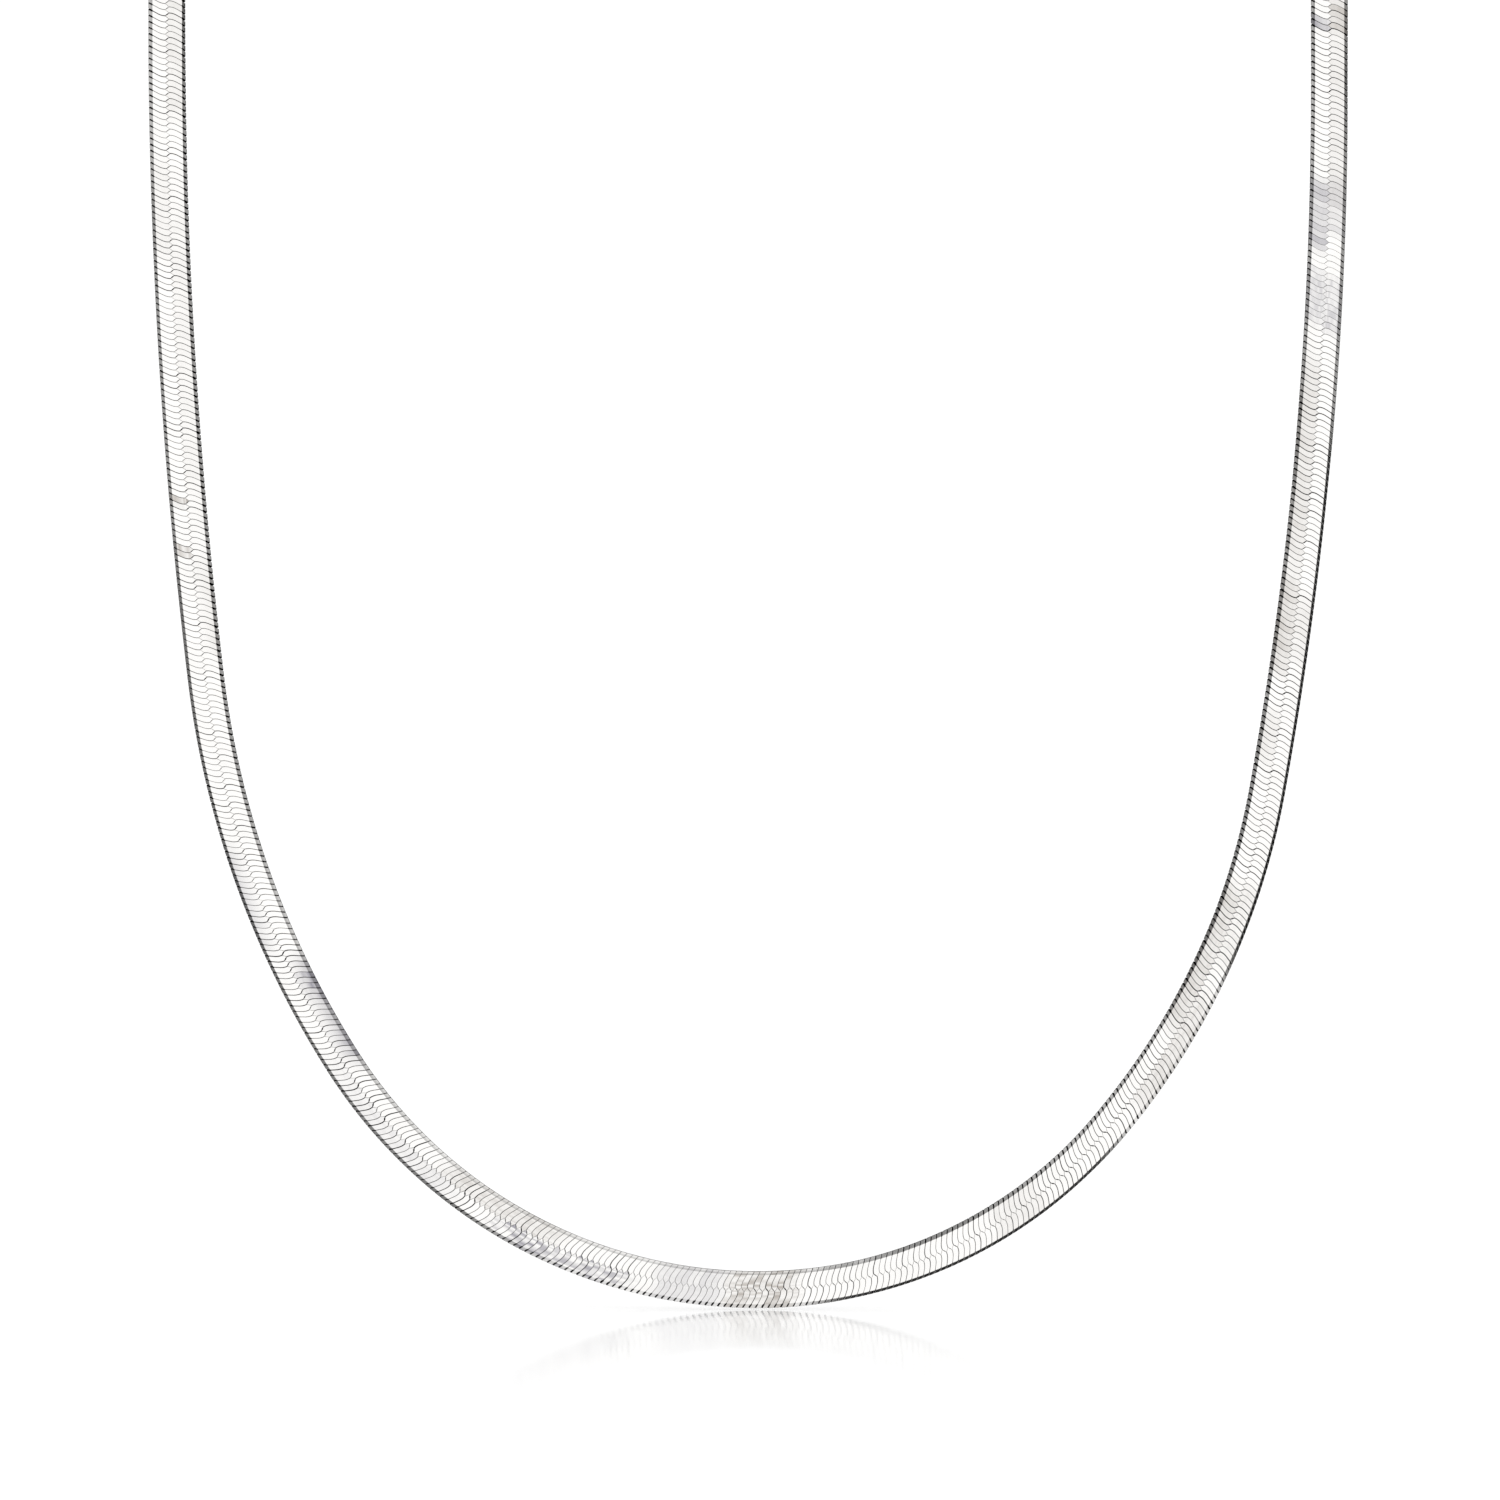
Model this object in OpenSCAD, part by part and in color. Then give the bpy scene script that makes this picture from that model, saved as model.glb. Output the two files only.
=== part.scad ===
// A herringbone chain: a flat band of close silver links, closed behind the neck
// by two end caps, two jump rings and a lobster clasp.
// The loop stands in the XZ plane with its front face towards -Y. The origin is the
// middle of the clasp's under side, where the back of the neck carries the necklace.

/* [Necklace] */
// Length of the closed necklace along its middle line
necklace_length = 610; // [595:5:760]
// Width of the loop between the middle lines of its two sides
loop_w = 141; // [115:1:146]

/* [Herringbone band] */
// Width of the band
band_w = 4.5; // [3.5:0.1:6]
// Thickness of the band
band_t = 1; // [0.9:0.05:1.4]
// Width of the bevel along each edge of the two faces
bevel_w = 0.4; // [0.2:0.05:0.42]

/* [End caps] */
// Wall of the sleeve that is crimped round the band's end
cap_wall = 0.35; // [0.25:0.05:0.6]
// Length of band held in each sleeve
cap_grip = 5; // [3:0.5:8]
// Thickness of the wall that closes the sleeve
cap_floor = 0.6; // [0.4:0.1:1.2]
// Thickness of the flat tongue that carries the eye
tongue_t = 0.9; // [0.6:0.1:1.1]
// Distance from the closed end of the sleeve to the middle of the eye
tongue_reach = 2.9; // [2.7:0.1:5]
// Diameter of the hole in the eye
eye_d = 1.8; // [1.7:0.1:2.2]
// Metal left round the hole in the eye
eye_rim = 0.7; // [0.5:0.05:0.85]

/* [Jump rings] */
// Diameter of the rings' wire
ring_wire = 0.8; // [0.6:0.05:0.9]
// Outside diameter of the rings
ring_d = 5; // [4.9:0.1:6]

/* [Clasp] */
// Width of the clasp's body
clasp_w = 5; // [4.4:0.1:6]
// Thickness of the clasp
clasp_t = 1.9; // [1.4:0.1:2.1]
// Distance from the middle of the clasp's eye to the middle of its hook
hook_reach = 8; // [7.2:0.1:12]
// Width of the opening inside the hook
hook_gap = 2.3; // [2:0.1:2.6]
// Metal round the eye of the clasp and the opening of its hook
hook_wall = 1.05; // [0.8:0.05:1.1]
// Width of the seam where the lever meets the tip of the hook
gate_seam = 0.15; // [0.1:0.05:0.3]
// Lean of that seam towards the eye, in degrees
gate_lean = 30; // [15:5:45]
// Diameter of the thumb knob on the lever
knob_d = 1.7; // [1.2:0.1:2.2]

/* [Fits] */
// Gap all round the band inside a sleeve
sleeve_gap = 0.05; // [0.02:0.01:0.1]
// Gap between a ring's wire and what pulls on it
ring_gap = 0.15; // [0.05:0.05:0.2]

/* [Hidden] */
$fn = 96;
// Facets to the full turn on the long curves of the band
route_fn = 720;
// Lap of each stretch of the band into the next, so that they join as one
lap = 0.002;
// Depth below a round edge from which a straight edge leaves it
tuck = 0.01;
// Extra depth of a cut past the face that it opens
cut = 1;

// Each side of the loop rises from the lowest point to the vertical in three curves.
// A row gives a curve's radius as a share of the loop's width, and its turn in degrees.
RADIUS = 0;
TURN = 1;
left_side = [[0.423, 57.4796], [0.79, 25.778], [4.77, 6.7424]];
right_side = [[0.396, 49.8327], [0.62, 30.0076], [3.36, 10.1597]];

// Heading at the start of curve i of a side, in degrees above the level
function heading(side, i) = i == 0 ? 0 : heading(side, i - 1) + side[i - 1][TURN];
// Level way and height from the lowest point to the start of curve i, in shares
function level_share(side, i) = i == 0 ? 0
    : level_share(side, i - 1)
        + side[i - 1][RADIUS] * (sin(heading(side, i)) - sin(heading(side, i - 1)));
function rise_share(side, i) = i == 0 ? 0
    : rise_share(side, i - 1)
        + side[i - 1][RADIUS] * (cos(heading(side, i - 1)) - cos(heading(side, i)));
// Length of the curves of a side, in shares
function length_share(side, i) = i == 0 ? 0
    : length_share(side, i - 1) + side[i - 1][RADIUS] * side[i - 1][TURN] * PI / 180;

curves = len(left_side);
share = loop_w / (level_share(left_side, curves) + level_share(right_side, curves));
left_reach = share * level_share(left_side, curves);
right_reach = share * level_share(right_side, curves);
left_rise = share * rise_share(left_side, curves);
right_rise = share * rise_share(right_side, curves);
curved_length = share * (length_share(left_side, curves) + length_share(right_side, curves));

// Jump rings
wire_r = ring_wire / 2;
ring_r = ring_d / 2 - wire_r;
// A ring bows into a flat piece of thickness t by this much between its two faces
function ring_bow(t) = ring_r - wire_r - sqrt((ring_r - wire_r) ^ 2 - (t / 2) ^ 2);

// End caps, measured along the band's way from its end
sleeve_end = sleeve_gap + cap_floor;
cap_eye_x = sleeve_end + tongue_reach;
eye_r = eye_d / 2;
// From the middle of a cap's eye to the wire that pulls in it
cap_pull = eye_r - wire_r - ring_gap - ring_bow(tongue_t);

// Clasp, measured from the middle of its eye
clasp_pull = eye_r - wire_r - ring_gap - ring_bow(clasp_t);
clasp_half = clasp_w / 2;
hook_r = hook_gap / 2 + hook_wall;
// The hook's under side is level with the body's
hook_z = hook_r - clasp_half;
body_x = clasp_half + eye_r;
hook_wire_x = hook_reach + hook_gap / 2 - ring_gap - ring_bow(clasp_t) - wire_r;

// The fittings between the two ends of the band
clasp_span = clasp_pull + hook_wire_x;
fitting_run = 2 * (cap_eye_x + cap_pull + 2 * ring_r) + clasp_span;
// Straight band at each end, a little longer than the sleeve's grip
tail = cap_grip + band_w / 2;
top_run = fitting_run + 2 * tail;
top_r = (loop_w - top_run) / 2;

// The straight stretches take up what is left of the necklace's length
straight_top = (necklace_length - curved_length + left_rise + right_rise
    - PI * top_r - top_run) / 2;
run_z = straight_top + top_r;
middle_x = (right_reach - left_reach) / 2;
nape_z = run_z - clasp_half;

// Places along the top run, from the middle of the fittings
clasp_x = clasp_pull - clasp_span / 2;
ring_x = clasp_span / 2 + ring_r;
band_end_x = fitting_run / 2;

// Section of the band grown by g all round: x across the band, y through it
module band_section(g = 0) {
    half_w = band_w / 2 + g;
    half_t = band_t / 2 + g;
    slope = bevel_w + g * (2 - sqrt(2));
    polygon([
        [half_w, slope - half_t], [half_w, half_t - slope],
        [half_w - slope, half_t], [slope - half_w, half_t],
        [-half_w, half_t - slope], [-half_w, slope - half_t],
        [slope - half_w, -half_t], [half_w - slope, -half_t]
    ]);
}

// Stands what is drawn in the XY plane, lowest point at zero, in the necklace's plane
module in_loop_plane() {
    rotate([90, 0, 0]) translate([-middle_x, -nape_z, 0]) children();
}

// A curve of the band that leaves the origin along +X and bends towards +Y.
// What follows it is drawn from its end, in the same way.
module band_curve(r, turn) {
    lap_turn = lap / r * 180 / PI;
    translate([0, r, 0]) {
        rotate_extrude(angle = turn + lap_turn, start = -90, $fn = route_fn)
            translate([r, 0]) band_section();
        rotate([0, 0, turn]) translate([0, -r, 0]) children();
    }
}

// A straight of the band from the origin along +X, sections grown by g
module band_straight(length, g = 0) {
    rotate([90, 0, 90]) linear_extrude(length) band_section(g);
}

// One side of the loop from its lowest point, drawn as the right one: its curves from
// the row i on, then the straight, the curve at the top and the end inside the sleeve
module band_side(side, straight, i = 0) {
    if (i < len(side)) {
        band_curve(share * side[i][RADIUS], side[i][TURN]) band_side(side, straight, i + 1);
    } else {
        band_straight(straight + lap);
        translate([straight, 0, 0]) band_curve(top_r, 90) band_straight(tail);
    }
}

module herringbone_band() {
    color("#e4e5e7") in_loop_plane() {
        band_side(right_side, straight_top - right_rise);
        mirror([1, 0, 0]) band_side(left_side, straight_top - left_rise);
    }
}

// Two circles joined by their common tangents: centres a and b, radii ra and rb
module tapered_bar(a, ra, b, rb) {
    along = (b - a) / norm(b - a);
    side = [-along[1], along[0]];
    lean = (ra - rb) / norm(b - a);
    upper = lean * along + sqrt(1 - lean ^ 2) * side;
    lower = lean * along - sqrt(1 - lean ^ 2) * side;
    translate(a) circle(ra);
    translate(b) circle(rb);
    polygon([
        a + (ra - tuck) * upper, b + (rb - tuck) * upper,
        b + (rb - tuck) * lower, a + (ra - tuck) * lower
    ]);
}

// A flat piece of thickness t cut to the outline that follows, middle in the plane
module plate(t) {
    translate([0, 0, -t / 2]) linear_extrude(t) children();
}

// End cap on a band that ends at the origin and comes from -X
module end_cap() {
    shoulder_r = band_w / 2 + sleeve_gap;
    color("#d3d5d8") rotate([90, 0, 0]) difference() {
        union() {
            translate([-cap_grip, 0, 0])
                band_straight(cap_grip + sleeve_end, sleeve_gap + cap_wall);
            plate(tongue_t)
                tapered_bar([sleeve_end, 0], shoulder_r, [cap_eye_x, 0], eye_r + eye_rim);
        }
        translate([-cap_grip - cut, 0, 0]) band_straight(cap_grip + cut + sleeve_gap, sleeve_gap);
        translate([cap_eye_x, 0, -cut]) cylinder(r = eye_r, h = 2 * cut);
    }
}

module jump_ring() {
    color("#d3d5d8") rotate_extrude() translate([ring_r, 0]) circle(wire_r);
}

module end_cap_left() {
    translate([-band_end_x, 0, clasp_half]) end_cap();
}

module end_cap_right() {
    translate([band_end_x, 0, clasp_half]) mirror([1, 0, 0]) end_cap();
}

module jump_ring_left() {
    translate([-ring_x, 0, clasp_half]) jump_ring();
}

module jump_ring_right() {
    translate([ring_x, 0, clasp_half]) jump_ring();
}

// Lobster clasp in one piece, its eye to the left and its lever on the upper side
module clasp() {
    body = [body_x, 0];
    hook = [hook_reach, hook_z];
    opening = [body_x + hook_wall + hook_gap / 2, hook_z];
    cut_t = clasp_t + 2 * cut;
    color("#d3d5d8") translate([clasp_x, 0, clasp_half]) rotate([90, 0, 0]) difference() {
        union() {
            plate(clasp_t) tapered_bar([0, 0], eye_r + hook_wall, body, clasp_half);
            plate(clasp_t) tapered_bar(body, clasp_half, hook, hook_r);
            plate(clasp_t) translate([body_x, clasp_half - knob_d / 4]) circle(d = knob_d);
        }
        plate(cut_t) circle(eye_r);
        plate(cut_t) tapered_bar(opening, hook_gap / 2, hook, hook_gap / 2);
        plate(cut_t) translate([hook_reach - hook_gap / 2, hook_z]) rotate(gate_lean)
            translate([0, hook_gap / 4]) square([gate_seam, clasp_w]);
    }
}

herringbone_band();
end_cap_left();
end_cap_right();
jump_ring_left();
jump_ring_right();
clasp();
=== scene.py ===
import math

import bmesh
import bpy
import numpy as np
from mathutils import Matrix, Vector


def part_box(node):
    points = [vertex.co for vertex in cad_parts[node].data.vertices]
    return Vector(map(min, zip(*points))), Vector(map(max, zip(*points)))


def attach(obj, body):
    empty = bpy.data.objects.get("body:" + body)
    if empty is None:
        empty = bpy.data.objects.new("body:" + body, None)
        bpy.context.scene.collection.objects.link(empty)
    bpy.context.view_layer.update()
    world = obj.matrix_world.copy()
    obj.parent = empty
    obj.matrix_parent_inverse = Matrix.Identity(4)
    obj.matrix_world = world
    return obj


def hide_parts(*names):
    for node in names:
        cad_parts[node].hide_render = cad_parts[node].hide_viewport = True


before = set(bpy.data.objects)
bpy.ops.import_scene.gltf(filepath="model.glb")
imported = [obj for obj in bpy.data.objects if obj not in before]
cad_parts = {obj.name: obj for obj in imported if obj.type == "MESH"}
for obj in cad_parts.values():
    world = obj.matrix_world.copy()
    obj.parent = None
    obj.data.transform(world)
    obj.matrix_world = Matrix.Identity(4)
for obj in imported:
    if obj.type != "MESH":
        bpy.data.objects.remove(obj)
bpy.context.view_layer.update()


# The herringbone band. Each of its links is a silver wire threaded through its neighbours and
# rolled flat, so that it shows a slanting tile on either half of both faces. The tiles meet in
# a zigzag down the middle, and a bevel is ground along both edges of the finished band.
MM = 0.001  # a millimetre in metres: sizes and distances are given in millimetres
BAND_W = 4.5
BAND_T = 1.0
INNER_BEVEL_W = 0.43
OUTER_BEVEL_W = 0.48
INNER_RIM = 0.09
OUTER_RIM = 0.02
CAP_GRIP = 5.0
LINKS = 791
# The curves of each side from the lowest point up: their radii as shares of one length, and their
# turns in degrees
LEFT_SIDE = ((0.423, 57.4796), (0.79, 25.778), (4.77, 6.7424))
RIGHT_SIDE = ((0.396, 49.8327), (0.62, 30.0076), (3.36, 10.1597))

band_lo, band_hi = (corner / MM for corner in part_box("herringbone_band"))
ring_lo, ring_hi = (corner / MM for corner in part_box("jump_ring_left"))
band_end_x = -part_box("end_cap_left")[0].x / MM - CAP_GRIP
top_z = (ring_lo.z + ring_hi.z) / 2
loop_w = band_hi.x - band_lo.x - BAND_W
lowest_z = band_lo.z + BAND_W / 2
tail = CAP_GRIP + BAND_W / 2
top_r = loop_w / 2 - band_end_x - tail


def side_curves(side, share):
    """Rows of length, bend, way, rise and heading for the three curves of one side."""
    rows = []
    way = rise = heading = 0.0
    for radius_share, turn in side:
        radius = radius_share * share
        end = heading + math.radians(turn)
        rows.append((radius * (end - heading), 1 / radius, way, rise, heading))
        way += radius * (math.sin(end) - math.sin(heading))
        rise += radius * (math.cos(heading) - math.cos(end))
        heading = end
    return rows, way, rise


def whole_side(side, share):
    """The curves of a side, its straight, the bend at the top and the end inside the sleeve."""
    rows, way, rise = side_curves(side, share)
    upright = math.pi / 2
    straight_top = top_z - top_r - lowest_z
    rows.append((straight_top - rise, 0.0, way, rise, upright))
    rows.append((top_r * upright, 1 / top_r, way, straight_top, upright))
    rows.append((tail, 0.0, way - top_r, straight_top + top_r, math.pi))
    return np.array(rows)


loop_share = loop_w / (side_curves(LEFT_SIDE, 1)[1] + side_curves(RIGHT_SIDE, 1)[1])
left_rows = whole_side(LEFT_SIDE, loop_share)
right_rows = whole_side(RIGHT_SIDE, loop_share)
left_length = left_rows[:, 0].sum()
right_length = right_rows[:, 0].sum()
lowest_x = band_lo.x + BAND_W / 2 + side_curves(LEFT_SIDE, loop_share)[1]
pitch = (left_length + right_length) / LINKS


def along_side(rows, s):
    """Way, rise and heading at distances s from the lowest point along one side."""
    starts = np.concatenate([[0.0], np.cumsum(rows[:-1, 0])])
    place = np.clip(np.searchsorted(starts, s, side="right") - 1, 0, len(rows) - 1)
    bend, way, rise, start_heading = np.moveaxis(rows[place, 1:], -1, 0)
    run = s - starts[place]
    heading = start_heading + bend * run
    round_bend = np.where(bend == 0, 1.0, bend)
    curve_way = (np.sin(heading) - np.sin(start_heading)) / round_bend
    curve_rise = (np.cos(start_heading) - np.cos(heading)) / round_bend
    way = way + np.where(bend == 0, run * np.cos(start_heading), curve_way)
    rise = rise + np.where(bend == 0, run * np.sin(start_heading), curve_rise)
    return way, rise, heading


# Twist of the band about its own length: distance from the lowest point, and the degrees by which
# its inner edge comes forward
TWIST = ((-280, 0), (-196, -9), (-188, -7), (-182, -4), (-168, 3), (-132, 3), (-120, 5), (-75, 5),
         (-50, 4), (-38, 3), (-29, 0), (4, 0), (12, 9), (43, 9), (51, 1), (69, 1), (77, 9), (132, 9),
         (142, 1), (172, 1), (181, 5), (190, 1), (250, 0))


def route(s):
    """Way, rise and heading at distance s from the lowest point, to the right."""
    left_way, left_rise, left_heading = along_side(left_rows, -s)
    right_way, right_rise, right_heading = along_side(right_rows, s)
    is_left = s < 0
    way = np.where(is_left, -left_way, right_way)
    rise = np.where(is_left, left_rise, right_rise)
    heading = np.where(is_left, -left_heading, right_heading)
    return way, rise, heading


def on_route(s, inward, lift):
    """Points in metres beside the band's middle line at distance s: inward towards the inside of
    the loop, lift to the front."""
    way, rise, heading = route(s)
    twist = np.radians(np.interp(s, *zip(*TWIST)))
    side = inward * np.cos(twist) - lift * np.sin(twist)
    out = lift * np.cos(twist) + inward * np.sin(twist)
    x = lowest_x + way - side * np.sin(heading)
    z = lowest_z + rise + side * np.cos(heading)
    return np.stack([x, -out, z], axis=-1) * MM


# The slant of the tiles. The half of the zigzag is a share of the half width, and the bend of a
# seam takes a share of the rest. In pitches: the step from one half of a link to the other, how far
# a seam has leaned at the edge, and how far round the link's tile on the back has moved on.
NODE = 0.1
BEND = 0.45
STEP = 0.46
LEAN = 1.15
WRAP = 2


def seam_lean(share):
    """How far a seam has leaned at a share of the half width from the middle, in pitches."""
    way = np.clip((share - NODE) / (1 - NODE), 0, 1)
    slope = LEAN / (1 - BEND / 2)
    return np.where(way < BEND, slope * way ** 2 / (2 * BEND), slope * (way - BEND / 2))


def tile_sides(share):
    """The seams on either side of an inner tile of the front face, in pitches."""
    down_the_v = np.clip((NODE - share) / (2 * NODE), 0, 1)
    left = seam_lean(share) + STEP * down_the_v
    right = 1 + seam_lean(share) - (1 - STEP) * down_the_v
    return left, right


# Stations across the face as shares of the half width, the rounding where a bevel begins, half the
# height of the band's very edge, and how deep the metal of a tile reaches
FACE_SHARES = (-0.088, 0.0, 0.1, 0.16, 0.24, 0.34, 0.46, 0.64)
SOFT = 0.05
EDGE_HALF_T = 0.02
LEAF = 0.24


def edge_profile(bevel_w, rim):
    """Inward and lift of the stations from the middle of the front, over the bevel and the rim of
    one edge, to the middle of the back."""
    half_w = BAND_W / 2
    half_t = BAND_T / 2
    bevel_end = bevel_w - rim
    front = [(share * half_w, half_t) for share in FACE_SHARES]
    front += [(half_w - bevel_w - SOFT, half_t), (half_w - bevel_w + SOFT / 2, half_t - SOFT / 2)]
    front += [(half_w - rim, half_t - bevel_end), (half_w, EDGE_HALF_T)]
    back = [(inward, -lift) for inward, lift in reversed(front)]
    return np.array(front + back)


# Half the width of a seam on the face, on the bevels and on the dark and pale sides of the V, and
# the most of a tile that its seams may take
SEAM_GAP = 0.024
BEVEL_GAP = 0.11
DARK_GAP = 0.055
PALE_GAP = 0.004
MOST_GAP = 0.8
# The rounded shoulder of a tile beside its seams, the share of it that bends most, and how far a
# tile's tip in the V is sunk
SHOULDER = 0.05
SHOULDER_BEND = 0.3
TIP_SINK = 0.1
# How strongly the seams are darkened, with oxide and painted shade, on the bevels and on the dark
# and pale sides of the V, where the dark side is painted as the shadow of the step between tiles
BEVEL_OXIDE_AND_SHADE = 1.4
DARK_SIDE_SHADE = 1.8
PALE_SIDE_SHADE = 0.1
# Painted shade: a dark line in the crease where a bevel meets the face and along its rim, and the
# share of both that the outer edge has
CREASE_SHADE = 0.35
RIM_SHADE = 0.5
OUTER_RIM_SHADE = 0.25
# How close two distances across the band are when they count as one
NEAR = 0.001


def link_half(bevel_w, rim):
    """The tile of one link on one half of the front, carried round the edge to its tile on the
    back: u in pitches, the gap and the darkening of the seams on its two sides (oxide and painted
    shade), which stations lie on the bevels, the painted shade along the edge, inward and lift."""
    surface = edge_profile(bevel_w, rim)
    under = surface * (1 - LEAF / np.array([BAND_W / 2, BAND_T / 2]))
    share = np.clip(surface[:, 0] / (BAND_W / 2), -1, 1)
    start, end = tile_sides(share)
    back = np.arange(len(share)) >= len(share) // 2
    last = WRAP + STEP + 1
    start, end = np.where(back, last - end, start), np.where(back, last - start, end)
    in_v = share < NODE
    on_bevel = share > 1 - bevel_w / (BAND_W / 2)
    gap = np.where(on_bevel, BEVEL_GAP, SEAM_GAP)
    dark_start = np.where(back, PALE_GAP, DARK_GAP)
    dark_end = np.where(back, DARK_GAP, PALE_GAP)
    gap_start = np.where(in_v, dark_start, gap) / pitch
    gap_end = np.where(in_v, dark_end, gap) / pitch
    turn = np.full(len(share), SHOULDER / pitch)
    room = np.minimum(1, MOST_GAP * (end - start) / (gap_start + gap_end + 2 * turn))
    gap_start, gap_end, turn = gap_start * room, gap_end * room, turn * room
    u = np.stack([start, start, start + SHOULDER_BEND * turn, start + turn,
                  end - turn, end - SHOULDER_BEND * turn, end, end], axis=1)
    none = np.zeros(len(share))
    gap_before = np.stack([gap_start] * 4 + [none] * 4, axis=1)
    gap_after = np.stack([none] * 4 + [-gap_end] * 4, axis=1)
    # Painted shade: the bevels' seams and the dark side of the V are painted darker than the rest
    bold = np.where(on_bevel, BEVEL_OXIDE_AND_SHADE, 1.0)
    bold_start = np.where(in_v, np.where(back, PALE_SIDE_SHADE, DARK_SIDE_SHADE), bold)
    bold_end = np.where(in_v, np.where(back, DARK_SIDE_SHADE, PALE_SIDE_SHADE), bold)
    # The walls of a seam take its darkening, oxide and painted shade, strongest right at the seam
    darkened = np.array([1, 1, 0.5, 0, 0, 0, 0, 0])
    oxide_and_shade = (np.outer(bold_start, darkened), np.outer(bold_end, darkened[::-1]))
    edge = share[:, None] > 1 - (bevel_w + SOFT) / (BAND_W / 2)
    # Painted shade: dark lines in the crease where the bevel begins and along the rim of the edge
    crease = np.abs(share[:, None] * BAND_W / 2 - BAND_W / 2 + bevel_w) < SOFT / 2 + NEAR
    line = np.where(crease, CREASE_SHADE, 0) + np.where(share[:, None] > 1 - NEAR, RIM_SHADE, 0)
    sink = np.array([1, SHOULDER / LEAF, SHOULDER_BEND * SHOULDER / LEAF, 0])
    sink = np.concatenate([sink, sink[::-1]])
    depth = np.tile(sink, (len(share), 1))
    at_tip = (np.arange(len(share)) == 0) | (np.arange(len(share)) == len(share) - 1)
    depth[at_tip] = np.maximum(depth[at_tip], TIP_SINK)
    place = surface[:, None] * (1 - depth[..., None]) + under[:, None] * depth[..., None]
    return u, (gap_before, gap_after), oxide_and_shade, edge, line, place[..., 0], place[..., 1]


link_halves = {1: link_half(INNER_BEVEL_W, INNER_RIM), -1: link_half(OUTER_BEVEL_W, OUTER_RIM)}
stations, corners = link_halves[1][0].shape


def strip_faces(rows, columns):
    """Quads round a strip of closed rings, and the quads that close its two ends."""
    row, column = np.meshgrid(np.arange(rows - 1), np.arange(columns), indexing="ij")
    after = (column + 1) % columns
    sides = np.stack([row * columns + column, row * columns + after,
                      (row + 1) * columns + after, (row + 1) * columns + column], axis=-1)
    a = np.arange(columns // 2 - 1)
    end = np.stack([a, a + 1, columns - 2 - a, columns - 1 - a], axis=-1)
    return np.concatenate([sides.reshape(-1, 4), end[:, ::-1], end + (rows - 1) * columns])


half_faces = strip_faces(stations, corners)


def keep_flat(mesh):
    """Shades a mesh as flat on its large faces and as rounded over the small ones beside them."""
    mesh.shade_smooth()
    corner = np.empty(len(mesh.loops), np.int32)
    mesh.loops.foreach_get("vertex_index", corner)
    corner_count = np.empty(len(mesh.polygons), np.int32)
    mesh.polygons.foreach_get("loop_total", corner_count)
    area = np.empty(len(mesh.polygons), np.float32)
    mesh.polygons.foreach_get("area", area)
    normal = np.empty(3 * len(mesh.polygons), np.float32)
    mesh.polygons.foreach_get("normal", normal)
    pull = normal.reshape(-1, 3) * (area[:, None] / MM ** 2) ** 2
    pull = np.repeat(pull, corner_count, axis=0)
    total = np.stack([np.bincount(corner, way, len(mesh.vertices)) for way in pull.T], axis=1)
    mesh.normals_split_custom_set_from_vertices(total / np.linalg.norm(total, axis=1, keepdims=True))


def quad_piece(name, points, faces, shades):
    """A mesh object of quads, with a value for each point under each name in shades."""
    mesh = bpy.data.meshes.new(name)
    mesh.vertices.add(len(points))
    mesh.vertices.foreach_set("co", points.astype(np.float32).ravel())
    mesh.loops.add(faces.size)
    mesh.loops.foreach_set("vertex_index", faces.astype(np.int32).ravel())
    mesh.polygons.add(len(faces))
    mesh.polygons.foreach_set("loop_start", np.arange(0, faces.size, 4, dtype=np.int32))
    mesh.update(calc_edges=True)
    for shade, values in shades.items():
        layer = mesh.attributes.new(shade, "FLOAT", "POINT")
        layer.data.foreach_set("value", values.astype(np.float32))
    keep_flat(mesh)
    piece = bpy.data.objects.new(name, mesh)
    bpy.context.scene.collection.objects.link(piece)
    return piece


# Dulled places, partly tarnish and partly painted reflection and shade: distance of the middle from
# the lowest point, half length, darkness, half of the band that they lie on (1 inner, -1 outer, 0
# both), how far each tile is broken into patches, how far the darkening gathers along the edge, and
# whether it is bluish (1) or brownish (0)
DULL_AND_SHADE_PLACES = (
    (-188, 11, 0.24, 1, 0.3, 0, 0), (-168, 7, 0.2, -1, 0.3, 0, 0), (-150, 24, 0.13, 1, 0.2, 0, 0),
    (-132, 0.5, 1.0, -1, 0.7, 0, 0), (-126, 0.5, 1.0, -1, 0.7, 0, 0), (-119, 7, 0.25, 1, 0.2, 0.7, 0),
    (-83, 8, 0.4, -1, 0.1, 0.8, 1), (-67, 9, 0.75, 1, 0.2, 0.8, 1), (-71, 2, 0.8, 1, 0.6, 0.6, 1),
    (-50, 13, 0.3, -1, 0.5, 0, 1), (-34, 10, 0.5, 1, 0.5, 0, 0), (-25, 10, 1.1, -1, 1.0, 0, 1),
    (-9, 5, 0.4, 0, 0.2, 0, 1), (0, 5, 0.85, 0, 0.8, 0, 0), (33, 4, 0.2, 0, 0.3, 0, 0),
    (60, 9, 0.45, -1, 0.4, 0, 0), (77, 6, 0.25, -1, 0.3, 0, 0), (72, 11, 0.6, 1, 0.2, 0.3, 0),
    (100, 4, 0.25, 1, 0.2, 0.3, 0), (114, 7, 0.6, 1, 0.2, 0.3, 0), (114, 5, 0.2, -1, 0.2, 0, 0),
    (134, 15, 0.42, 1, 0.2, 0.2, 0), (164, 5, 0.7, 1, 0.1, 0, 1), (154, 4, 0.6, 1, 0.5, 0, 1),
    (165, 4, 0.35, -1, 0.1, 0, 1), (153, 4, 0.6, -1, 0.6, 0, 1), (178, 16, 0.25, -1, 0.2, 0, 0),
    (187, 1, 1.0, 1, 0.2, 0.3, 1), (188, 2, 0.5, -1, 0.1, 0.3, 0),
)
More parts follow.
